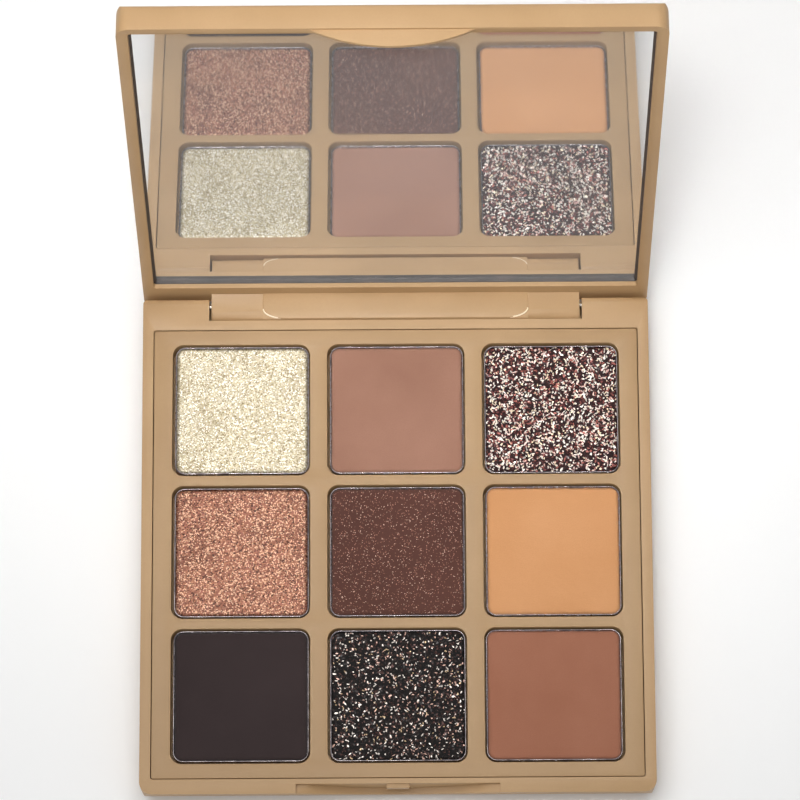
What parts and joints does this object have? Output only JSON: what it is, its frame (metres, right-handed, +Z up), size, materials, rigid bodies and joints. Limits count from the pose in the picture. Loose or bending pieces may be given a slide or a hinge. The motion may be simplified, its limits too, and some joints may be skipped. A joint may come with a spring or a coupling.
{
  "type": "eyeshadow palette",
  "caption": "Flat square makeup palette with a grid of pressed powder pans in a tray and a hinged lid that holds a mirror.",
  "frame": {"origin": "middle of the underside of the base, on the surface that the case rests on", "axes": "+X to the right across the case, +Y from the front edge to the hinge, +Z up"},
  "size_m": [0.098, 0.125, 0.1006],
  "materials": {
    "case_plastic": "satin moulded plastic, golden tan",
    "pan_metal": "thin pressed tinplate",
    "champagne_powder": "pressed powder, fine champagne shimmer",
    "rosy_taupe_powder": "pressed powder, matte",
    "pink_glitter_powder": "pressed dark powder, dense pink and gold flakes",
    "copper_powder": "pressed powder, copper shimmer",
    "brown_powder": "pressed powder with fine sparkle",
    "peach_powder": "pressed powder, matte",
    "near_black_powder": "pressed powder, matte",
    "black_glitter_powder": "pressed black powder with scattered flakes",
    "terracotta_powder": "pressed powder, matte",
    "glue": "set hot-melt glue",
    "mirror": "back-silvered glass",
    "tape": "thin adhesive foam sheet",
    "pin_steel": "drawn wire"
  },
  "bodies": {
    "base": {"base_shell": "case_plastic", "pan_tray": "case_plastic", "pan_rear_left": "pan_metal", "pan_rear_middle": "pan_metal", "pan_rear_right": "pan_metal", "pan_middle_left": "pan_metal", "pan_centre": "pan_metal", "pan_middle_right": "pan_metal", "pan_front_left": "pan_metal", "pan_front_middle": "pan_metal", "pan_front_right": "pan_metal", "powder_champagne_shimmer": "champagne_powder", "powder_rosy_taupe": "rosy_taupe_powder", "powder_pink_glitter": "pink_glitter_powder", "powder_copper_shimmer": "copper_powder", "powder_brown_sparkle": "brown_powder", "powder_peach": "peach_powder", "powder_near_black": "near_black_powder", "powder_black_glitter": "black_glitter_powder", "powder_terracotta": "terracotta_powder", "pan_glue_pads": "glue", "hinge_pin_left": "pin_steel", "hinge_pin_right": "pin_steel"},
    "lid": {"lid_shell": "case_plastic", "mirror_glass": "mirror", "mirror_tape": "tape"}
  },
  "joints": [
    {"name": "lid_hinge", "type": "hinge", "parent": "base", "child": "lid", "pos_m": [0, 0.04765, 0.00673], "axis": [1, 0, 0], "range_deg": [0, 103]}
  ]
}
